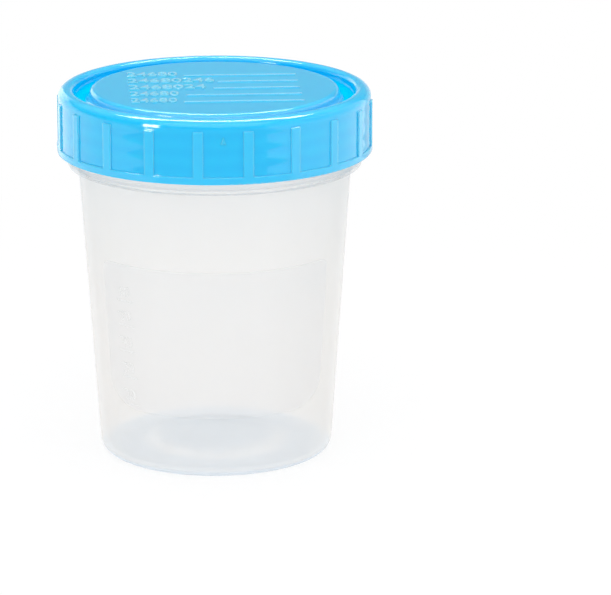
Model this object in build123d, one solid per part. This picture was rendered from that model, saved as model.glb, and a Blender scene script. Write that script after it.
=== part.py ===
from build123d import *
import math
import os

os.makedirs("parts", exist_ok=True)

# A specimen container in millimetres: a tapered, thin-walled cup and its screw lid.
# The cup stands on z = 0, and both pieces are round about Z. The front looks along -Y.

# Cup body
foot_radius = 23.6  # outer wall carried straight down to the table plane
shoulder_radius = 27.7  # outer wall where it meets the flange
flange_bottom = 60.2  # height of the flange's lower face
wall = 1.2
base_corner = 2.7  # rounding between wall and foot, outside

# Cup floor: a narrow foot ring, and a shallow push-up in the middle
floor_thickness = 1.2
foot_ring_width = 1.5
foot_ring_height = 0.3
push_up_height = 2.0
push_up_radius = 12.0  # flat top of the push-up
push_up_run = 3.0  # its sloping side, measured across
floor_round = 0.8

# Cup neck
neck_radius = 28.2
neck_height = 10.9  # from the flange's upper face to the rim
flange_overhang = 1.6  # how far the flange stands out past the neck
flange_thickness = 0.9
flange_round = 0.2
rim_round = 0.4
bore_blend = 1.0  # where the tapered inside meets the neck's bore

# Writing panel: a low raised field on the front of the cup
panel_bottom = 13.1
panel_top = 43.6
panel_half_angle = 58.0
panel_relief = 0.15
panel_root = 0.4  # how deep the field is rooted in the wall
panel_top_round = 1.5
panel_bottom_round = 6.0

# Fit of the lid on the cup
seal_gap = 0.1  # rim to the underside of the lid
plug_clearance = 0.15  # seal ring in the mouth, on the radius
thread_room = 1.9  # from the neck to the skirt, shared by the two threads

# Lid shell
lid_height = 12.9
skirt_wall = 1.6
top_wall = 1.3
top_round = 1.8  # full outer edge of the rim
rim_land = 1.4  # flat of the raised rim, inside its rounded edge
groove_width = 3.2
groove_depth = 2.35
groove_round = 1.1  # hollow roundings along the groove's floor
edge_round = 1.0  # soft upper edges of the groove
plateau_drop = 0.1  # the middle field lies this far below the rim

# Seal ring under the lid
plug_wall = 1.0
plug_depth = 2.5
plug_round = 0.3
hollow_round = 0.5  # inside corner under the middle field

# Skirt: upright grip ribs that run down into a lip
rib_count = 20
rib_width = 2.0
rib_height = 0.3
rib_root = 0.5  # how deep a rib is rooted in the skirt
rib_drop = 2.25  # from the lid's top to the ribs' square upper ends
lip_height = 1.5
lip_round = 0.35
lid_turn = 3.0  # the lid's angle on the cup, in degrees

# Writing lines: low bars on the middle field, all ending at the right
line_lengths = (23.0, 16.4, 17.5, 23.2, 24.0)
line_pitch = 6.1
line_width = 0.5
line_relief = 0.2
line_root = 0.3  # how deep a bar is rooted in the lid
line_right = 17.2
first_line = 10.6  # the top line, towards the back

# Sizes that follow
flange_top = flange_bottom + flange_thickness
cup_height = flange_top + neck_height
flange_radius = neck_radius + flange_overhang
mouth_radius = neck_radius - wall
inner_floor = foot_ring_height + floor_thickness

lid_seat = cup_height + seal_gap
groove_floor = lid_seat + top_wall
lid_top = groove_floor + groove_depth
plateau_top = lid_top - plateau_drop
lid_ceiling = plateau_top - top_wall
skirt_bottom = lid_top - lid_height
skirt_inner = neck_radius + thread_room
skirt_outer = skirt_inner + skirt_wall
lid_radius = skirt_outer + rib_height
groove_outer = skirt_outer - top_round - rim_land
plateau_radius = groove_outer - groove_width
plug_outer = mouth_radius - plug_clearance


def wall_radius(height):
    # Outer radius of the tapered wall at a height.
    return foot_radius + (shoulder_radius - foot_radius) * height / flange_bottom


def turned(corners):
    # A solid turned about Z from its section: (radius, height, rounding) for each corner.
    points = [(radius, height) for radius, height, rounding in corners]
    roundings = [rounding for radius, height, rounding in corners]
    outline = FilletPolyline(*points, radius=roundings, close=True)
    return revolve(Plane.XZ * make_face(outline), axis=Axis.Z)


def cup_shell():
    ring_inner = foot_radius - base_corner - foot_ring_width
    slope_foot = push_up_radius + push_up_run
    outside = [
        (0, push_up_height, 0),
        (push_up_radius, push_up_height, floor_round),
        (slope_foot, foot_ring_height, floor_round),
        (ring_inner, foot_ring_height, 0),
        (ring_inner, 0, 0),
        (foot_radius, 0, base_corner),
        (shoulder_radius, flange_bottom, flange_round),
        (flange_radius, flange_bottom, flange_round),
        (flange_radius, flange_top, flange_round),
        (neck_radius, flange_top, flange_round),
        (neck_radius, cup_height, rim_round),
    ]
    inside = [
        (mouth_radius, cup_height, rim_round),
        (mouth_radius, flange_top, bore_blend),
        (shoulder_radius - wall, flange_bottom, bore_blend),
        (wall_radius(inner_floor) - wall, inner_floor, base_corner - wall),
        (slope_foot, inner_floor, floor_round),
        (push_up_radius, push_up_height + floor_thickness, floor_round),
        (0, push_up_height + floor_thickness, 0),
    ]
    return turned(outside + inside)


def writing_panel():
    # A skin on the wall, cut to a panel that narrows with the taper.
    skin = turned(
        [
            (wall_radius(0) - panel_root, 0, 0),
            (wall_radius(0) + panel_relief, 0, 0),
            (wall_radius(flange_bottom) + panel_relief, flange_bottom, 0),
            (wall_radius(flange_bottom) - panel_root, flange_bottom, 0),
        ]
    )
    reach = math.sin(math.radians(panel_half_angle))
    top_half = wall_radius(panel_top) * reach
    bottom_half = wall_radius(panel_bottom) * reach
    outline = FilletPolyline(
        (-bottom_half, panel_bottom),
        (bottom_half, panel_bottom),
        (top_half, panel_top),
        (-top_half, panel_top),
        radius=[panel_bottom_round, panel_bottom_round, panel_top_round, panel_top_round],
        close=True,
    )
    cutter = extrude(Plane.XZ * make_face(outline), amount=shoulder_radius + panel_relief)
    return skin & cutter


def lid_shell():
    hollow_radius = plateau_radius - top_wall
    lip_top = skirt_bottom + lip_height
    underside = [
        (0, lid_ceiling, 0),
        (hollow_radius, lid_ceiling, hollow_round),
        (hollow_radius, lid_seat, 0),
        (plug_outer - plug_wall, lid_seat, 0),
        (plug_outer - plug_wall, lid_seat - plug_depth, plug_round),
        (plug_outer, lid_seat - plug_depth, plug_round),
        (plug_outer, lid_seat, 0),
        (skirt_inner, lid_seat, 0),
        (skirt_inner, skirt_bottom, lip_round),
    ]
    outside = [
        (lid_radius, skirt_bottom, lip_round),
        (lid_radius, lip_top, 0),
        (skirt_outer, lip_top, 0),
        (skirt_outer, lid_top, top_round),
        (groove_outer, lid_top, edge_round),
        (groove_outer, groove_floor, groove_round),
        (plateau_radius, groove_floor, groove_round),
        (plateau_radius, plateau_top, edge_round),
        (0, plateau_top, 0),
    ]
    return turned(underside + outside)


def grip_ribs():
    rib_bottom = skirt_bottom + lip_height
    rib_length = lid_top - rib_drop - rib_bottom
    rib = Pos(0, 0, rib_bottom) * Box(
        rib_root + rib_height,
        rib_width,
        rib_length,
        align=(Align.MAX, Align.CENTER, Align.MIN),
    )
    # A rib stands half a pitch to each side of the front.
    spacing = 360 / rib_count
    return [place * rib for place in PolarLocations(lid_radius, rib_count, spacing / 2 - 90)]


def writing_lines():
    lines = []
    for row, length in enumerate(line_lengths):
        bar = Box(
            length,
            line_width,
            line_root + line_relief,
            align=(Align.MAX, Align.CENTER, Align.MAX),
        )
        lines.append(Pos(line_right, first_line - row * line_pitch, plateau_top + line_relief) * bar)
    return lines


def make_cup():
    return cup_shell() + writing_panel()


def make_lid():
    lid = lid_shell() + grip_ribs() + writing_lines()
    return Rot(0, 0, lid_turn) * lid


export_step(make_cup(), "parts/cup.step")
export_step(make_lid(), "parts/screw_lid.step")
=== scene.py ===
import math

import bmesh
import bpy
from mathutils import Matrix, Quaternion, Vector


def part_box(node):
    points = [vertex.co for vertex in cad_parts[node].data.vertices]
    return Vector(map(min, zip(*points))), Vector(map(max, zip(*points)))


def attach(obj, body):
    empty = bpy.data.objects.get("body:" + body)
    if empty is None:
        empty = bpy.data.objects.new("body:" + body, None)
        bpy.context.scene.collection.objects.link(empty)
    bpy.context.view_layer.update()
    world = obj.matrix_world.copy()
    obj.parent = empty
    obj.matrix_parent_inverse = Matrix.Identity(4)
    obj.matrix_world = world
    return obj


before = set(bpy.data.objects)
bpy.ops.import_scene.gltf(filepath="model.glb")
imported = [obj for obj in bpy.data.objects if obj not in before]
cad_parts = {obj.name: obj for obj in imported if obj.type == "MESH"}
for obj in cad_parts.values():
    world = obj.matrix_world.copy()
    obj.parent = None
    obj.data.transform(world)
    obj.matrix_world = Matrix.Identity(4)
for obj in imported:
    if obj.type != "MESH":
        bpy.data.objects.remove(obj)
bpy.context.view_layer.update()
mm = 0.001
millilitre = 1e-6
scene = bpy.context.scene
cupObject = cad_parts["cup"]
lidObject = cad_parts["screw_lid"]
lidRadius = (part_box("screw_lid")[1].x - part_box("screw_lid")[0].x) / 2
print("frame loaded")


def addNode(tree, kind, **settings):
    node = tree.nodes.new(kind)
    for key, value in settings.items():
        setattr(node, key, value)
    return node


def feed(tree, target, source):
    # A number, a colour or another node's output goes into a socket.
    if isinstance(source, bpy.types.NodeSocket):
        tree.links.new(source, target)
    else:
        target.default_value = source


def maths(tree, operation, first, second=0.0, third=0.0, clamp=False):
    node = addNode(tree, "ShaderNodeMath", operation=operation, use_clamp=clamp)
    for socket, source in zip(node.inputs, (first, second, third)):
        feed(tree, socket, source)
    return node.outputs[0]


def vector(tree, x=0.0, y=0.0, z=0.0):
    node = addNode(tree, "ShaderNodeCombineXYZ")
    for socket, source in zip(node.inputs, (x, y, z)):
        feed(tree, socket, source)
    return node.outputs[0]


def onCircle(tree, angle, radius, height):
    x = maths(tree, "MULTIPLY", maths(tree, "COSINE", angle), radius)
    y = maths(tree, "MULTIPLY", maths(tree, "SINE", angle), radius)
    return vector(tree, x, y, height)


def ramp(tree, value, low, high):
    # 0 below low and 1 above high, with a soft passage.
    node = addNode(tree, "ShaderNodeMapRange", interpolation_type="SMOOTHSTEP")
    feed(tree, node.inputs["Value"], value)
    node.inputs["From Min"].default_value = low
    node.inputs["From Max"].default_value = high
    return node.outputs["Result"]


def fadeOut(tree, value, low, high):
    # 1 below low and 0 above high.
    return maths(tree, "SUBTRACT", 1.0, ramp(tree, value, low, high))


def between(tree, value, low, high, soft):
    # 1 between low and high, with a soft passage above each of them.
    return maths(
        tree, "SUBTRACT", ramp(tree, value, low, low + soft), ramp(tree, value, high, high + soft)
    )


def noise(tree, coordinates, scale, detail=2.0):
    node = addNode(tree, "ShaderNodeTexNoise")
    tree.links.new(coordinates, node.inputs["Vector"])
    node.inputs["Scale"].default_value = scale
    node.inputs["Detail"].default_value = detail
    return node.outputs["Fac"]


def bump(tree, height, distance, normal=None, invert=False):
    node = addNode(tree, "ShaderNodeBump", invert=invert)
    node.inputs["Distance"].default_value = distance
    tree.links.new(height, node.inputs["Height"])
    if normal is not None:
        tree.links.new(normal, node.inputs["Normal"])
    return node.outputs[0]


def blendColours(tree, share, first, second):
    node = addNode(tree, "ShaderNodeMix", data_type="RGBA")
    feed(tree, node.inputs["Factor"], share)
    colours = [socket for socket in node.inputs if socket.type == "RGBA"]
    feed(tree, colours[0], first)
    feed(tree, colours[1], second)
    return [socket for socket in node.outputs if socket.type == "RGBA"][0]


def blendShaders(tree, share, first, second):
    node = addNode(tree, "ShaderNodeMixShader")
    feed(tree, node.inputs["Fac"], share)
    tree.links.new(first, node.inputs[1])
    tree.links.new(second, node.inputs[2])
    return node.outputs[0]


def showSurface(tree, shader, kind="ShaderNodeOutputMaterial"):
    output = addNode(tree, kind)
    tree.links.new(shader, output.inputs["Surface"])


def emptyMaterial(name):
    material = bpy.data.materials.new(name)
    material.use_nodes = True
    material.node_tree.nodes.clear()
    return material, material.node_tree


def paint(piece, material):
    for slot in piece.material_slots:
        slot.material = material
    if not piece.material_slots:
        piece.data.materials.append(material)


# Threads: their pitch and places are shared by both pieces and by the lid's finish.
thread = {
    "pitch": 3.2 * mm,
    "neckRadius": 28.2 * mm,
    "skirtRadius": 30.1 * mm,
    "cupHeight": 1.15 * mm,  # how far the cup's thread stands out
    "lidHeight": 1.25 * mm,
    "rootWidth": 1.5 * mm,
    "crestWidth": 0.7 * mm,
    "cupStart": 63.9 * mm,  # height of the cup thread's lower end
    "cupTurns": 1.9,
    "lidTurns": 1.7,
    "startAngle": 200.0,  # degrees round from +X
    "runOut": 0.06,  # share of the length over which each end fades
    "endSize": 0.02,  # share of the section that is left at the very end
    "steps": 220,
    "sunk": 0.25 * mm,  # how deep the root lies in the wall
}

lidFinish = {
    "colour": (0.003, 0.50, 0.82, 1),
    "deepToneAndThreadShade": (0.0, 0.45, 0.80, 1),  # painted shade of the thread seen through the skirt, and the moulding's clouds
    "proudHighlight": (0.028, 0.515, 0.82, 1),  # ribs and lip: painted highlight on their faces
    "flankLight": (0.12, 0.58, 0.85, 1),  # sides of the ribs: painted light, standing in for light leaking out
    "stepLight": (0.13, 0.60, 0.86, 1),  # side of the middle field: painted light, the same
    "raisedLight": (0.15, 0.63, 0.92, 1),  # numbers and lines: painted light on their raised tops
    "grooveLight": (0.0, 0.49, 0.88, 1),  # painted light, standing in for light gathering in the groove
    "numberShare": 0.9,  # how much of the raised tops' painted light the numbers take
    # how much of the raised tops' painted light the pointer takes
    "pointerShare": 0.12,
    "roughness": 0.06,
    "roughSpread": 0.08,
    "refraction": 1.49,
    "specular": 0.5,  # none in the groove, which shows no mirror image
    "scatter": 0.8,  # share of light that wanders inside the plastic
    "scatterDepth": 0.8 * mm,
    "edgeRadius": 0.45 * mm,  # softness of the ribs' and lines' edges
    "edgeSamples": 6,
    "flowScale": 60,  # faint clouds from the moulding
    "cloudFrom": 0.35,
    "cloudFull": 0.7,
    "cloudShare": 0.12,
    "grain": 0.004 * mm,
    "grainScale": 900,
    # share of the painted shade of the thread seen through the skirt
    "threadShadeShare": 0.5,
    "sinkDepth": 0.03 * mm,  # shallow sinks outside, over the thread
    "sinkFrom": 0.972,  # where the skirt's face starts, for the lid's radius
    "sinkFull": 0.98,
    "sinkFade": 72.6 * mm,  # the sinks fade out above this height
    "sinkTop": 74.2 * mm,
    "proudFrom": 31.71 * mm,
    "proudSoft": 0.06 * mm,
    "flankTo": 31.9 * mm,
    "flankSoft": 0.05 * mm,
    "raisedFrom": 75.66 * mm,
    "raisedSoft": 0.04 * mm,
    "raisedWithin": 25.0 * mm,
    "stepFrom": 25.0 * mm,
    "stepTo": 25.6 * mm,
    "stepSoft": 0.2 * mm,
    "grooveInner": 25.7 * mm,
    "grooveOuter": 28.7 * mm,
    "grooveSoft": 0.5 * mm,
    "grooveTop": 75.5 * mm,
    "grooveLip": 0.6 * mm,
}

cupFinish = {
    "colour": (0.985, 0.95, 0.915, 1),
    "panelColour": (0.885, 0.87, 0.86, 1),
    # painted shade, tinted blue, in the foot and floor
    "footShade": (0.83, 0.91, 0.99, 1),
    "cover": 0.285,  # how much of the outer surface is milk, the rest lets sight through
    "innerCover": 0.12,  # the same for the inner surface
    "mouthCover": 0.0,  # and near the mouth
    "thinFrom": 35 * mm,  # between these heights the one becomes the other
    "thinTo": 60 * mm,
    "footCover": 0.40,  # in the foot and floor
    "edgeCover": 0.25,  # more of it where the wall is seen edge on
    "edgeBlend": 0.25,
    "panelCover": 0.2,  # and on the matt writing panel
    "panelFrom": 0.4,  # where the panel's finish starts, as a share of its relief
    "panelFull": 0.8,
    "glow": 0.35,  # share of the milk that passes light on through the wall
    "roughness": 0.32,
    "panelRoughness": 0.5,
    "refraction": 1.49,
    "hazeScale": 45,
    "hazeDetail": 3,
    "hazeSpread": 0.02,
    "grain": 0.006 * mm,
    "grainScale": 700,
    "wallFoot": 1.8 * mm,  # how high the foot's painted shade and extra milk reach in the wall
    "wallFootSoft": 0.8 * mm,
    "floorFoot": 3.6 * mm,  # and on the floor's push-up
    "floorFootSoft": 0.2 * mm,
    "floorRadius": 21.7 * mm,
    "slopeInner": 11.5 * mm,  # the push-up's sloping side takes less of the foot's painted shade and milk than the floor
    "slopeOuter": 14.5 * mm,
    "slopeSoft": 1.0 * mm,
    "slopeClear": 0.3,
    "flangeFrom": 28.3 * mm,  # the thin flange is clearer than the wall below it
    "flangeTop": 61.4 * mm,
    "flangeClear": 0.35,
    "markColour": (1.0, 1.0, 1.0, 1),
    "markCover": 0.17,
    "markSpread": 0.06,
    "markScale": 900,
}

# The cup's own sizes, for its finish and its graduations.
cupShape = {
    "footRadius": 23.6 * mm,
    "shoulderRadius": 27.7 * mm,
    "shoulderHeight": 60.2 * mm,
    "wall": 1.2 * mm,
    "floor": 1.5 * mm,
    "panelRelief": 0.15 * mm,
    "panelTop": 45.0 * mm,
    "pushUpVolume": 0.96,  # millilitres that the raised floor takes away
}
cupTaper = (cupShape["shoulderRadius"] - cupShape["footRadius"]) / cupShape["shoulderHeight"]


def place(tree):
    # Object coordinates, with the height, the radius and the angle about the axis.
    coordinates = addNode(tree, "ShaderNodeTexCoord").outputs["Object"]
    parts = addNode(tree, "ShaderNodeSeparateXYZ")
    tree.links.new(coordinates, parts.inputs[0])
    x, y, z = parts.outputs
    squares = maths(tree, "ADD", maths(tree, "MULTIPLY", x, x), maths(tree, "MULTIPLY", y, y))
    return coordinates, z, maths(tree, "SQRT", squares), maths(tree, "ARCTAN2", y, x)


def threadWave(tree, z, angle):
    # 1 along the lid's own thread and 0 half a pitch away from it.
    turn = 2 * math.pi
    rise = maths(tree, "MULTIPLY", z, turn / thread["pitch"])
    lidStart = thread["cupStart"] - thread["pitch"] / 2
    start = math.radians(thread["startAngle"]) - turn * lidStart / thread["pitch"]
    phase = maths(tree, "ADD", maths(tree, "SUBTRACT", rise, angle), start)
    return maths(tree, "MULTIPLY_ADD", maths(tree, "COSINE", phase), 0.5, 0.5)


def makeLidMaterial(name, wholeShare=None):
    # With a whole share, the raised tops' painted light takes that much of a piece. Without one, it
    # takes the writing lines' tops, and the ribs and the lip have their own painted highlight.
    material, tree = emptyMaterial(name)
    coordinates, z, radius, angle = place(tree)
    finish = lidFinish

    onSkirt = maths(
        tree, "MULTIPLY",
        ramp(tree, radius, finish["sinkFrom"] * lidRadius, finish["sinkFull"] * lidRadius),
        fadeOut(tree, z, finish["sinkFade"], finish["sinkTop"]),
    )
    band = maths(tree, "MULTIPLY", threadWave(tree, z, angle), onSkirt)
    flow = noise(tree, coordinates, finish["flowScale"])
    clouds = ramp(tree, flow, finish["cloudFrom"], finish["cloudFull"])
    proud = ramp(tree, radius, finish["proudFrom"], finish["proudFrom"] + finish["proudSoft"])
    pastFlank = ramp(tree, radius, finish["flankTo"], finish["flankTo"] + finish["flankSoft"])
    raised = maths(
        tree, "MULTIPLY",
        ramp(tree, z, finish["raisedFrom"], finish["raisedFrom"] + finish["raisedSoft"]),
        maths(tree, "LESS_THAN", radius, finish["raisedWithin"]),
    )
    deep = fadeOut(tree, z, finish["grooveTop"] - finish["grooveLip"], finish["grooveTop"])
    inner, outer, soft = finish["grooveInner"], finish["grooveOuter"], finish["grooveSoft"]
    inRing = maths(
        tree, "MULTIPLY",
        ramp(tree, radius, inner, inner + soft), fadeOut(tree, radius, outer - soft, outer),
    )
    inGroove = maths(tree, "MULTIPLY", inRing, deep)
    step = between(tree, radius, finish["stepFrom"], finish["stepTo"], finish["stepSoft"])
    onStep = maths(tree, "MULTIPLY", step, deep)

    layers = [
        # painted shade of the thread seen through the skirt
        (maths(tree, "MULTIPLY", band, finish["threadShadeShare"]), "deepToneAndThreadShade"),
        (maths(tree, "MULTIPLY", clouds, finish["cloudShare"]), "deepToneAndThreadShade"),
    ]
    if wholeShare is None:
        # painted highlight on the faces of the ribs and the lip
        layers.append((proud, "proudHighlight"))
        # painted light on the sides of the ribs
        layers.append((maths(tree, "SUBTRACT", proud, pastFlank), "flankLight"))
    layers += [
        # painted light on the side of the middle field
        (onStep, "stepLight"),
        # painted light in the groove
        (inGroove, "grooveLight"),
        # painted light on the raised tops, or over a whole piece
        (raised if wholeShare is None else wholeShare, "raisedLight"),
    ]
    colour = finish["colour"]
    for share, key in layers:
        colour = blendColours(tree, share, colour, finish[key])

    softEdge = addNode(tree, "ShaderNodeBevel", samples=finish["edgeSamples"])
    softEdge.inputs["Radius"].default_value = finish["edgeRadius"]
    sink = bump(tree, band, finish["sinkDepth"], softEdge.outputs[0], invert=True)
    skin = bump(tree, noise(tree, coordinates, finish["grainScale"]), finish["grain"], sink)
    rough = maths(
        tree, "MULTIPLY_ADD", flow, finish["roughSpread"],
        finish["roughness"] - finish["roughSpread"] / 2,
    )
    gloss = maths(tree, "MULTIPLY_ADD", inGroove, -finish["specular"], finish["specular"])

    shader = addNode(tree, "ShaderNodeBsdfPrincipled")
    shader.inputs["IOR"].default_value = finish["refraction"]
    shader.inputs["Subsurface Weight"].default_value = finish["scatter"]
    shader.inputs["Subsurface Radius"].default_value = (1, 1, 1)
    shader.inputs["Subsurface Scale"].default_value = finish["scatterDepth"]
    tree.links.new(colour, shader.inputs["Base Color"])
    tree.links.new(rough, shader.inputs["Roughness"])
    tree.links.new(gloss, shader.inputs["Specular IOR Level"])
    tree.links.new(skin, shader.inputs["Normal"])
    showSurface(tree, shader.outputs[0])
    return material


def makeCupMaterial():
    material, tree = emptyMaterial("milkyPlastic")
    coordinates, z, radius, angle = place(tree)
    finish = cupFinish

    # The foot: painted shade in its colour, and more milk in its cover.
    wallFoot = fadeOut(tree, z, finish["wallFoot"] - finish["wallFootSoft"], finish["wallFoot"])
    floorFoot = fadeOut(tree, z, finish["floorFoot"] - finish["floorFootSoft"], finish["floorFoot"])
    slope = between(tree, radius, finish["slopeInner"], finish["slopeOuter"], finish["slopeSoft"])
    clearer = maths(tree, "MULTIPLY_ADD", slope, -finish["slopeClear"], 1.0)
    floorFoot = maths(tree, "MULTIPLY", floorFoot, clearer)
    onFloor = maths(tree, "LESS_THAN", radius, finish["floorRadius"])
    foot = maths(tree, "MAXIMUM", wallFoot, maths(tree, "MULTIPLY", floorFoot, onFloor))

    # The panel stands out from the tapered wall by its relief, and the inner surface lies
    # a wall's thickness in.
    wallHere = maths(tree, "MULTIPLY_ADD", z, cupTaper, cupShape["footRadius"])
    proud = maths(tree, "SUBTRACT", radius, wallHere)
    inner = maths(tree, "LESS_THAN", proud, -0.5 * cupShape["wall"])
    relief = cupShape["panelRelief"]
    panel = maths(
        tree, "MULTIPLY",
        ramp(tree, proud, finish["panelFrom"] * relief, finish["panelFull"] * relief),
        maths(tree, "LESS_THAN", z, cupShape["panelTop"]),
    )
    onFlange = maths(
        tree, "MULTIPLY",
        maths(tree, "GREATER_THAN", radius, finish["flangeFrom"]),
        maths(tree, "LESS_THAN", z, finish["flangeTop"]),
    )

    # The cover: outer and inner surface first, then what each place adds or takes away.
    thin = maths(
        tree, "MULTIPLY_ADD", ramp(tree, z, finish["thinFrom"], finish["thinTo"]),
        finish["mouthCover"] - finish["innerCover"], finish["innerCover"],
    )
    cover = maths(
        tree, "MULTIPLY_ADD", inner, maths(tree, "SUBTRACT", thin, finish["cover"]), finish["cover"]
    )
    haze = noise(tree, coordinates, finish["hazeScale"], finish["hazeDetail"])
    lower = maths(tree, "SUBTRACT", cover, finish["hazeSpread"] / 2)
    cover = maths(tree, "MULTIPLY_ADD", haze, finish["hazeSpread"], lower)
    clearer = maths(tree, "MULTIPLY_ADD", onFlange, -finish["flangeClear"], 1.0)
    cover = maths(tree, "MULTIPLY", cover, clearer)
    cover = maths(tree, "MAXIMUM", cover, maths(tree, "MULTIPLY", foot, finish["footCover"]))
    cover = maths(tree, "MULTIPLY_ADD", panel, finish["panelCover"], cover)
    edge = addNode(tree, "ShaderNodeLayerWeight")
    edge.inputs["Blend"].default_value = finish["edgeBlend"]
    cover = maths(tree, "MULTIPLY_ADD", edge.outputs["Facing"], finish["edgeCover"], cover)

    # Painted shade, tinted blue, in the foot and on the floor.
    colour = blendColours(tree, foot, finish["colour"], finish["footShade"])
    colour = blendColours(tree, panel, colour, finish["panelColour"])
    matt = finish["panelRoughness"] - finish["roughness"]
    shader = addNode(tree, "ShaderNodeBsdfPrincipled")
    shader.inputs["IOR"].default_value = finish["refraction"]
    tree.links.new(colour, shader.inputs["Base Color"])
    rough = maths(tree, "MULTIPLY_ADD", panel, matt, finish["roughness"])
    tree.links.new(rough, shader.inputs["Roughness"])
    skin = bump(tree, noise(tree, coordinates, finish["grainScale"]), finish["grain"])
    tree.links.new(skin, shader.inputs["Normal"])
    through = addNode(tree, "ShaderNodeBsdfTranslucent")
    tree.links.new(colour, through.inputs["Color"])
    milk = blendShaders(tree, finish["glow"], shader.outputs[0], through.outputs[0])
    clear = addNode(tree, "ShaderNodeBsdfTransparent")
    showSurface(tree, blendShaders(tree, cover, clear.outputs[0], milk))
    return material


def makeMarkMaterial():
    # The cup's raised marks: the same milk, thinner.
    material, tree = emptyMaterial("milkyMarks")
    haze = noise(tree, place(tree)[0], cupFinish["markScale"])
    spread = cupFinish["markSpread"]
    cover = maths(tree, "MULTIPLY_ADD", haze, spread, cupFinish["markCover"] - spread / 2)
    shader = addNode(tree, "ShaderNodeBsdfPrincipled")
    shader.inputs["Base Color"].default_value = cupFinish["markColour"]
    shader.inputs["Roughness"].default_value = cupFinish["roughness"]
    clear = addNode(tree, "ShaderNodeBsdfTransparent")
    showSurface(tree, blendShaders(tree, cover, clear.outputs[0], shader.outputs[0]))
    return material


bluePlastic = makeLidMaterial("bluePlastic")
# The numbers and the pointer take the raised tops' painted light over their whole surface.
numberPlastic = makeLidMaterial("numberPlastic", lidFinish["numberShare"])
pointerPlastic = makeLidMaterial("pointerPlastic", lidFinish["pointerShare"])
milkyMarks = makeMarkMaterial()
milkyPlastic = makeCupMaterial()
paint(lidObject, bluePlastic)
paint(cupObject, milkyPlastic)
print("finishes made")


def startTree(name, sizes):
    # A Geometry Nodes tree with a named input for each size.
    tree = bpy.data.node_groups.new(name, "GeometryNodeTree")
    for label, value in sizes.items():
        kind = "NodeSocketInt" if isinstance(value, int) else "NodeSocketFloat"
        socket = tree.interface.new_socket(label, in_out="INPUT", socket_type=kind)
        socket.default_value = value
    tree.interface.new_socket("Geometry", in_out="OUTPUT", socket_type="NodeSocketGeometry")
    return tree, addNode(tree, "NodeGroupInput").outputs


def endTree(tree, geometry, material):
    real = addNode(tree, "GeometryNodeRealizeInstances")
    colour = addNode(tree, "GeometryNodeSetMaterial")
    colour.inputs["Material"].default_value = material
    output = addNode(tree, "NodeGroupOutput")
    tree.links.new(geometry, real.inputs["Geometry"])
    tree.links.new(real.outputs["Geometry"], colour.inputs["Geometry"])
    tree.links.new(colour.outputs["Geometry"], output.inputs["Geometry"])


def runTree(name, tree, sizes, material, body):
    # Runs the tree on an empty mesh, keeps the result as a plain mesh and sets it on its body.
    seed = bpy.data.objects.new(name + "Seed", bpy.data.meshes.new(name + "Seed"))
    scene.collection.objects.link(seed)
    modifier = seed.modifiers.new(name, "NODES")
    modifier.node_group = tree
    for item in tree.interface.items_tree:
        if item.in_out == "INPUT" and item.name in sizes:
            modifier[item.identifier] = sizes[item.name]
    bpy.context.view_layer.update()
    evaluated = seed.evaluated_get(bpy.context.evaluated_depsgraph_get())
    mesh = bpy.data.meshes.new_from_object(evaluated)
    seed.modifiers.remove(modifier)
    bpy.data.objects.remove(seed)
    return finishPiece(name, mesh, material, body)


def finishPiece(name, mesh, material, body, sharpFrom=35):
    mesh.name = name
    for polygon in mesh.polygons:
        polygon.use_smooth = True
    mesh.set_sharp_from_angle(angle=math.radians(sharpFrom))
    piece = bpy.data.objects.new(name, mesh)
    scene.collection.objects.link(piece)
    paint(piece, material)
    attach(piece, body)
    return piece


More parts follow.
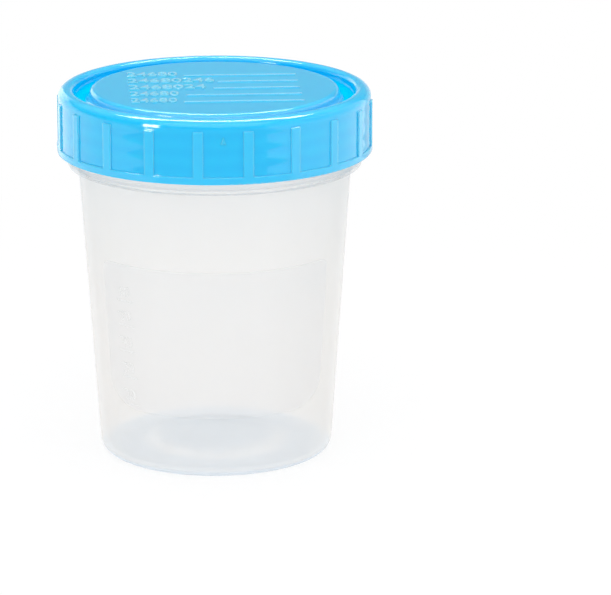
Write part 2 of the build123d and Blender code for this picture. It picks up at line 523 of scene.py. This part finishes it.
def threadTree():
    # A trapezoid swept along a helix, fading into the wall at both ends.
    # Out is 1 on a neck and -1 in a cap.
    sizes = {
        "Radius": 0.028, "Start": 0.064, "Pitch": 0.0032, "Turns": 1.5, "Angle": 0.0,
        "Height": 0.001, "Root": 0.0015, "Crest": 0.0007, "Sunk": 0.0002, "Out": 1.0,
        "Run Out": 0.05, "End Size": 0.02, "Steps": 200,
    }
    tree, size = startTree("threadRidge", sizes)
    along = addNode(tree, "GeometryNodeSplineParameter").outputs["Factor"]
    line = addNode(tree, "GeometryNodeCurvePrimitiveLine")
    fineLine = addNode(tree, "GeometryNodeResampleCurve")
    tree.links.new(line.outputs[0], fineLine.inputs["Curve"])
    tree.links.new(size["Steps"], fineLine.inputs["Count"])
    turned = maths(tree, "MULTIPLY", along, size["Turns"])
    angle = maths(tree, "ADD", maths(tree, "MULTIPLY", turned, 2 * math.pi), size["Angle"])
    climb = maths(tree, "ADD", maths(tree, "MULTIPLY", turned, size["Pitch"]), size["Start"])
    helix = addNode(tree, "GeometryNodeSetPosition")
    tree.links.new(fineLine.outputs[0], helix.inputs["Geometry"])
    tree.links.new(onCircle(tree, angle, size["Radius"], climb), helix.inputs["Position"])
    upright = addNode(tree, "GeometryNodeSetCurveNormal", mode="Z_UP")
    tree.links.new(helix.outputs[0], upright.inputs["Curve"])
    # Each end rises from nearly nothing over the run-out.
    nearEnd = maths(tree, "MINIMUM", along, maths(tree, "SUBTRACT", 1.0, along))
    rise = maths(tree, "DIVIDE", nearEnd, size["Run Out"], clamp=True)
    share = maths(tree, "MAXIMUM", maths(tree, "SQRT", rise), size["End Size"])
    fade = addNode(tree, "GeometryNodeSetCurveRadius")
    tree.links.new(upright.outputs[0], fade.inputs["Curve"])
    tree.links.new(share, fade.inputs["Radius"])
    # The section: its root lies inside the wall and its crest points out of it.
    section = addNode(tree, "GeometryNodeCurvePrimitiveQuadrilateral", mode="TRAPEZOID")
    section.inputs["Offset"].default_value = 0.0
    tree.links.new(size["Root"], section.inputs["Bottom Width"])
    tree.links.new(size["Crest"], section.inputs["Top Width"])
    depth = maths(tree, "ADD", size["Height"], size["Sunk"])
    tree.links.new(depth, section.inputs["Height"])
    spin = maths(tree, "MULTIPLY", size["Out"], -math.pi / 2)
    middle = maths(tree, "SUBTRACT", maths(tree, "MULTIPLY", depth, 0.5), size["Sunk"])
    shift = maths(tree, "MULTIPLY", middle, size["Out"])
    placed = addNode(tree, "GeometryNodeTransform")
    tree.links.new(section.outputs[0], placed.inputs["Geometry"])
    tree.links.new(vector(tree, z=spin), placed.inputs["Rotation"])
    tree.links.new(vector(tree, x=shift), placed.inputs["Translation"])
    solid = addNode(tree, "GeometryNodeCurveToMesh")
    tree.links.new(fade.outputs[0], solid.inputs["Curve"])
    tree.links.new(placed.outputs[0], solid.inputs["Profile Curve"])
    solid.inputs["Fill Caps"].default_value = True
    return tree, solid.outputs[0]


def makeThread(name, radius, height, start, turns, out, material, body):
    tree, ridge = threadTree()
    endTree(tree, ridge, material)
    sizes = {
        "Radius": radius, "Start": start, "Pitch": thread["pitch"], "Turns": turns,
        "Angle": math.radians(thread["startAngle"]), "Height": height,
        "Root": thread["rootWidth"], "Crest": thread["crestWidth"], "Sunk": thread["sunk"],
        "Out": out, "Run Out": thread["runOut"], "End Size": thread["endSize"],
        "Steps": thread["steps"],
    }
    return runTree(name, tree, sizes, material, body)


makeThread(
    "cupThread", thread["neckRadius"], thread["cupHeight"], thread["cupStart"],
    thread["cupTurns"], 1.0, milkyPlastic, "cup",
)
makeThread(
    "lidThread", thread["skirtRadius"], thread["lidHeight"],
    thread["cupStart"] + thread["pitch"] / 2,
    thread["lidTurns"], -1.0, bluePlastic, "lid",
)
print("threads cut")


# Graduations on the cup: ticks by volume, with plain numbers.
scale = {
    "firstVolume": 20.0,  # millilitres
    "stepVolume": 5.0,
    "ticks": 9,
    "leftAngle": -49.0,  # degrees from the front, where every tick starts
    "longTick": 4.4 * mm,
    "shortTick": 2.6 * mm,
    "tickWidth": 0.35 * mm,
    "bendPoints": 9,  # along each tick
    "relief": 0.07 * mm,
    "rooted": 0.2 * mm,
    "numberSize": 3.1 * mm,
    "numberAngle": -47.5,
    "numberLift": 0.9 * mm,  # from a tick to the foot of its number
}


def outerRadius(height):
    return cupShape["footRadius"] + cupTaper * height + cupShape["panelRelief"]


def fillHeight(volume):
    # Height of a fill in millilitres, from the volume of a cone's frustum.
    inside = cupShape["footRadius"] - cupShape["wall"]
    floorRadius = inside + cupTaper * cupShape["floor"]
    filled = (volume + cupShape["pushUpVolume"]) * millilitre
    return ((floorRadius**3 + 3 * cupTaper / math.pi * filled) ** (1 / 3) - inside) / cupTaper


def tickTree():
    sizes = {
        "Ticks": 9, "First Volume": 20.0, "Step Volume": 5.0, "Left Angle": 0.0,
        "Long": 0.004, "Short": 0.002, "Width": 0.0003, "Relief": 0.0001, "Rooted": 0.0002,
        "Inside Radius": 0.0224, "Floor Radius": 0.0225, "Taper": 0.068, "Lost Volume": 1.0,
        "Outside Radius": 0.0237, "Bend Points": 9,
    }
    tree, size = startTree("volumeTicks", sizes)
    line = addNode(tree, "GeometryNodeMeshLine")
    tree.links.new(size["Ticks"], line.inputs["Count"])
    index = addNode(tree, "GeometryNodeInputIndex").outputs[0]
    volume = maths(tree, "MULTIPLY_ADD", index, size["Step Volume"], size["First Volume"])
    filled = maths(tree, "ADD", volume, size["Lost Volume"])
    filled = maths(tree, "MULTIPLY", filled, 3 * millilitre / math.pi)
    floorCubed = maths(tree, "POWER", size["Floor Radius"], 3.0)
    cubed = maths(tree, "ADD", floorCubed, maths(tree, "MULTIPLY", filled, size["Taper"]))
    reach = maths(tree, "POWER", cubed, 1 / 3)
    climbed = maths(tree, "SUBTRACT", reach, size["Inside Radius"])
    height = maths(tree, "DIVIDE", climbed, size["Taper"])
    radius = maths(tree, "MULTIPLY_ADD", height, size["Taper"], size["Outside Radius"])
    # Even ticks are long and odd ones short, all from the same left end.
    odd = maths(tree, "MODULO", index, 2.0)
    shorter = maths(tree, "MULTIPLY", odd, maths(tree, "SUBTRACT", size["Long"], size["Short"]))
    length = maths(tree, "SUBTRACT", size["Long"], shorter)
    halfTurn = maths(tree, "DIVIDE", maths(tree, "MULTIPLY", length, 0.5), radius)
    angle = maths(tree, "ADD", size["Left Angle"], halfTurn)
    proud = maths(tree, "SUBTRACT", size["Relief"], size["Rooted"])
    middle = maths(tree, "MULTIPLY_ADD", proud, 0.5, radius)
    spots = addNode(tree, "GeometryNodeSetPosition")
    tree.links.new(line.outputs[0], spots.inputs["Geometry"])
    tree.links.new(onCircle(tree, angle, middle, height), spots.inputs["Position"])
    bar = addNode(tree, "GeometryNodeMeshCube")
    bar.inputs["Size"].default_value = (1, 1, 1)
    tree.links.new(size["Bend Points"], bar.inputs["Vertices Y"])
    thickness = maths(tree, "ADD", size["Relief"], size["Rooted"])
    spread = addNode(tree, "GeometryNodeInstanceOnPoints")
    tree.links.new(spots.outputs[0], spread.inputs["Points"])
    tree.links.new(bar.outputs[0], spread.inputs["Instance"])
    tree.links.new(vector(tree, z=angle), spread.inputs["Rotation"])
    tree.links.new(vector(tree, thickness, length, size["Width"]), spread.inputs["Scale"])
    # Each straight bar is bent round the wall: a point moves in by the cosine of its angle
    # from the bar's middle.
    note = addNode(tree, "GeometryNodeStoreNamedAttribute", domain="INSTANCE")
    note.inputs["Name"].default_value = "middle"
    tree.links.new(spread.outputs[0], note.inputs["Geometry"])
    tree.links.new(angle, note.inputs["Value"])
    real = addNode(tree, "GeometryNodeRealizeInstances")
    tree.links.new(note.outputs[0], real.inputs["Geometry"])
    parts = addNode(tree, "ShaderNodeSeparateXYZ")
    position = addNode(tree, "GeometryNodeInputPosition").outputs[0]
    tree.links.new(position, parts.inputs[0])
    x, y, z = parts.outputs
    middleAngle = addNode(tree, "GeometryNodeInputNamedAttribute")
    middleAngle.inputs["Name"].default_value = "middle"
    offMiddle = maths(
        tree, "SUBTRACT", maths(tree, "ARCTAN2", y, x), middleAngle.outputs["Attribute"]
    )
    inward = maths(tree, "COSINE", offMiddle)
    bent = vector(
        tree, maths(tree, "MULTIPLY", x, inward), maths(tree, "MULTIPLY", y, inward), z
    )
    bend = addNode(tree, "GeometryNodeSetPosition")
    tree.links.new(real.outputs[0], bend.inputs["Geometry"])
    tree.links.new(bent, bend.inputs["Position"])
    return tree, bend.outputs[0]


def makeTicks():
    tree, bars = tickTree()
    endTree(tree, bars, milkyMarks)
    inside = cupShape["footRadius"] - cupShape["wall"]
    sizes = {
        "Ticks": scale["ticks"], "First Volume": scale["firstVolume"],
        "Step Volume": scale["stepVolume"], "Left Angle": math.radians(scale["leftAngle"] - 90),
        "Long": scale["longTick"], "Short": scale["shortTick"], "Width": scale["tickWidth"],
        "Relief": scale["relief"], "Rooted": scale["rooted"], "Inside Radius": inside,
        "Floor Radius": inside + cupTaper * cupShape["floor"], "Taper": cupTaper,
        "Lost Volume": cupShape["pushUpVolume"], "Outside Radius": outerRadius(0),
        "Bend Points": scale["bendPoints"],
    }
    return runTree("cupTicks", tree, sizes, milkyMarks, "cup")


numeralSteps = 3  # how finely a numeral's curves are cut
weldGap = 0.001 * mm


def raisedText(words, size, thickness, bold=0.0):
    # A flat mesh of raised numerals, standing from -thickness / 2 to thickness / 2 in z.
    curve = bpy.data.curves.new("numeral", "FONT")
    curve.body = words
    curve.size = size
    curve.extrude = thickness / 2
    curve.offset = bold
    curve.resolution_u = numeralSteps
    holder = bpy.data.objects.new("numeral", curve)
    scene.collection.objects.link(holder)
    bpy.context.view_layer.update()
    evaluated = holder.evaluated_get(bpy.context.evaluated_depsgraph_get())
    mesh = bpy.data.meshes.new_from_object(evaluated)
    bpy.data.objects.remove(holder)
    return mesh


def joinMeshes(name, meshes):
    # The fronts, backs and sides of numerals come unjoined, and a few faces inside out.
    joined = bpy.data.meshes.new(name)
    whole = bmesh.new()
    for mesh in meshes:
        whole.from_mesh(mesh)
    bmesh.ops.remove_doubles(whole, verts=whole.verts, dist=weldGap)
    bmesh.ops.recalc_face_normals(whole, faces=whole.faces)
    whole.to_mesh(joined)
    whole.free()
    return joined


def makeCupNumbers():
    # Each number is bent round the wall, just above its long tick.
    meshes = []
    thickness = scale["relief"] + scale["rooted"]
    for index in range(0, scale["ticks"], 2):
        volume = scale["firstVolume"] + index * scale["stepVolume"]
        mesh = raisedText(str(round(volume)), scale["numberSize"], thickness)
        foot = fillHeight(volume) + scale["numberLift"]
        for vertex in mesh.vertices:
            height = foot + vertex.co.y
            proud = vertex.co.z + (scale["relief"] - scale["rooted"]) / 2
            angle = math.radians(scale["numberAngle"] - 90) + vertex.co.x / outerRadius(height)
            reach = outerRadius(height) + proud
            vertex.co = Vector((reach * math.cos(angle), reach * math.sin(angle), height))
        meshes.append(mesh)
    mesh = joinMeshes("cupNumbers", meshes)
    return finishPiece("cupNumbers", mesh, milkyMarks, "cup")


makeTicks()
makeCupNumbers()
print("graduations done")


# Plain numbers before the lid's writing lines.
rows = {
    "left": -17.3 * mm,
    "first": 10.6 * mm,
    "pitch": 6.1 * mm,
    "labels": (  # each with its width
        ("24680", 10.3 * mm),
        ("24680246", 17.5 * mm),
        ("2468024", 15.5 * mm),
        ("24680", 9.8 * mm),
        ("24680", 9.2 * mm),
    ),
    "size": 5.2 * mm,
    "bold": 0.04 * mm,
    "relief": 0.2 * mm,
    "rooted": 0.3 * mm,
    "plateau": 75.65 * mm,
    "turn": 3.0,  # the lid's angle on the cup
}

# A small pointer on the skirt.
pointer = {
    "angle": 3.0,  # degrees round from the front
    "height": 71.0 * mm,
    "side": 1.2 * mm,
    "tall": 1.3,  # its height, for its side
    "skirtRadius": 31.7 * mm,
    "relief": 0.15 * mm,
    "rooted": 0.3 * mm,
}


def makeRowNumbers():
    meshes = []
    turn = math.radians(rows["turn"])
    thickness = rows["relief"] + rows["rooted"]
    middle = rows["plateau"] + (rows["relief"] - rows["rooted"]) / 2
    for row, (label, width) in enumerate(rows["labels"]):
        mesh = raisedText(label, rows["size"], thickness, rows["bold"])
        first = min(vertex.co.x for vertex in mesh.vertices)
        squeeze = width / (max(vertex.co.x for vertex in mesh.vertices) - first)
        for vertex in mesh.vertices:
            x = rows["left"] + (vertex.co.x - first) * squeeze
            y = rows["first"] - row * rows["pitch"] + vertex.co.y
            vertex.co = Vector((
                x * math.cos(turn) - y * math.sin(turn),
                x * math.sin(turn) + y * math.cos(turn),
                middle + vertex.co.z,
            ))
        meshes.append(mesh)
    mesh = joinMeshes("rowNumbers", meshes)
    return finishPiece("rowNumbers", mesh, numberPlastic, "lid")


def makePointer():
    # A three-sided prism that stands on the skirt, its point up.
    turn = math.radians(pointer["angle"])
    out = Vector((math.sin(turn), -math.cos(turn), 0))
    across = Vector((math.cos(turn), math.sin(turn), 0))
    half = pointer["side"] / 2
    corners = [(-half, 0), (half, 0), (0, pointer["tall"] * pointer["side"])]
    root = pointer["skirtRadius"] - pointer["rooted"]
    face = pointer["skirtRadius"] + pointer["relief"]
    vertices = []
    for reach in (root, face):
        for sideways, up in corners:
            height = Vector((0, 0, pointer["height"] + up))
            vertices.append(out * reach + across * sideways + height)
    faces = [(2, 1, 0), (3, 4, 5), (0, 1, 4, 3), (1, 2, 5, 4), (2, 0, 3, 5)]
    mesh = bpy.data.meshes.new("pointer")
    mesh.from_pydata(vertices, [], faces)
    return finishPiece("pointer", mesh, pointerPlastic, "lid")


makeRowNumbers()
makePointer()
print("lid marks done")


studio = {
    "floorSize": 8.0,
    "floorColour": (0.92, 0.92, 0.92, 1),
    "whiteNear": 0.85,  # how much of the floor's look is plain white by the cup
    "whiteFrom": 0.06,
    "whiteAt": 0.22,
    "horizon": 1.0,
    "wall": 0.5,
    "wallFrom": 0.05,  # how far up each passage starts and ends, 1 being overhead
    "wallAt": 0.25,
    "ceiling": 1.5,
    "ceilingFrom": 0.35,
    "ceilingAt": 0.7,
    "soft": 0.96,  # the surroundings as soft light
}


def makeFloor():
    material, tree = emptyMaterial("paleFloor")
    radius = place(tree)[2]
    path = addNode(tree, "ShaderNodeLightPath").outputs
    seen = maths(tree, "MAXIMUM", path["Is Camera Ray"], path["Is Glossy Ray"])
    seen = maths(tree, "MAXIMUM", seen, path["Is Transmission Ray"])
    spread = ramp(tree, radius, studio["whiteFrom"], studio["whiteAt"])
    near = studio["whiteNear"]
    share = maths(tree, "MULTIPLY", seen, maths(tree, "MULTIPLY_ADD", spread, 1 - near, near))
    plain = addNode(tree, "ShaderNodeBsdfDiffuse")
    plain.inputs["Color"].default_value = studio["floorColour"]
    white = addNode(tree, "ShaderNodeEmission")
    white.inputs["Strength"].default_value = 1.0
    showSurface(tree, blendShaders(tree, share, plain.outputs[0], white.outputs[0]))
    half = studio["floorSize"] / 2
    corners = [(-half, -half, 0), (half, -half, 0), (half, half, 0), (-half, half, 0)]
    mesh = bpy.data.meshes.new("floor")
    mesh.from_pydata(corners, [], [(0, 1, 2, 3)])
    floor = bpy.data.objects.new("floor", mesh)
    scene.collection.objects.link(floor)
    paint(floor, material)


def makeWorld():
    # White at the horizon, grey above it and bright overhead, for what the plastic mirrors.
    world = bpy.data.worlds.new("studio")
    scene.world = world
    world.use_nodes = True
    tree = world.node_tree
    tree.nodes.clear()
    direction = addNode(tree, "ShaderNodeTexCoord").outputs["Generated"]
    parts = addNode(tree, "ShaderNodeSeparateXYZ")
    tree.links.new(direction, parts.inputs[0])
    up = parts.outputs["Z"]
    toWall = ramp(tree, up, studio["wallFrom"], studio["wallAt"])
    toCeiling = ramp(tree, up, studio["ceilingFrom"], studio["ceilingAt"])
    drop = studio["wall"] - studio["horizon"]
    low = maths(tree, "MULTIPLY_ADD", toWall, drop, studio["horizon"])
    climb = studio["ceiling"] - studio["wall"]
    mirrored = maths(tree, "MULTIPLY_ADD", toCeiling, climb, low)
    path = addNode(tree, "ShaderNodeLightPath").outputs
    level = addNode(tree, "ShaderNodeMix", data_type="FLOAT")
    tree.links.new(path["Is Diffuse Ray"], level.inputs[0])
    tree.links.new(mirrored, level.inputs[2])
    level.inputs[3].default_value = studio["soft"]
    sky = addNode(tree, "ShaderNodeBackground")
    tree.links.new(level.outputs[0], sky.inputs["Strength"])
    showSurface(tree, sky.outputs[0], "ShaderNodeOutputWorld")


lamps = {
    # name: centre (x, y, z), width, height, turn in its own plane, the point it faces,
    # brightness of its face, and what it lights: "all", "body" for soft light without
    # a mirror image, or "gloss" for the mirror image alone
    "frontSoft": ((0, -0.86, 0.92), 1.5, 1.1, 0, (0, 0, 0.05), 1.27, "all"),
    "topSoft": ((0, 0.05, 1.05), 0.9, 0.9, 0, (0, 0, 0.05), 1.1, "body"),
    "leftCard": ((-0.13, 0.177, -0.006), 0.72, 0.3, -24, (0, 0.177, -0.006), 0.8, "gloss"),
    "backLeftPanel": ((-0.25, 0.54, 0.2), 0.22, 0.16, 0, (0, 0, 0.075), 0.6, "gloss"),
    "rightPanel": ((0.2, -0.02, 0.1), 0.5, 0.24, 0, (0, -0.02, 0.1), 1.0, "gloss"),
    "topStrip": ((0, 0.28, 0.86), 0.95, 0.25, 0, (0, 0, 0.075), 18.0, "gloss"),
    "leftLamp": ((-0.8, -0.76, 0.26), 0.25, 0.52, 0, (0, 0, 0.075), 24.0, "gloss"),
}


def makeLamp(name, centre, width, height, turn, aim, brightness, lights):
    data = bpy.data.lights.new(name, "AREA")
    data.shape = "RECTANGLE"
    data.size = width
    data.size_y = height
    data.energy = brightness * math.pi * width * height
    lamp = bpy.data.objects.new(name, data)
    scene.collection.objects.link(lamp)
    lamp.location = centre
    facing = (Vector(centre) - Vector(aim)).to_track_quat("Z", "Y")
    lamp.rotation_euler = (facing @ Quaternion((0, 0, 1), math.radians(turn))).to_euler()
    lamp.visible_camera = False
    lamp.visible_glossy = lights != "body"
    lamp.visible_diffuse = lights != "gloss"
    lamp.visible_transmission = lights != "gloss"


view = {
    "distance": 0.85497,
    "height": 0.26376,
    "pan": 0.0215,  # radians, to the right
    "dip": 0.2653,  # radians, down
    "roll": -0.0001,
    "lens": 254.7,
    "sensor": 36.0,
}


def makeCamera():
    data = bpy.data.cameras.new("camera")
    data.lens = view["lens"]
    data.sensor_width = view["sensor"]
    data.sensor_fit = "HORIZONTAL"
    data.dof.use_dof = False
    camera = bpy.data.objects.new("camera", data)
    scene.collection.objects.link(camera)
    camera.location = (0, -view["distance"], view["height"])
    camera.rotation_mode = "XYZ"
    camera.rotation_euler = (math.pi / 2 - view["dip"], view["roll"], -view["pan"])
    scene.camera = camera


makeFloor()
makeWorld()
for lampName, values in lamps.items():
    makeLamp(lampName, *values)
makeCamera()
scene.view_settings.view_transform = "Standard"
print("studio set")
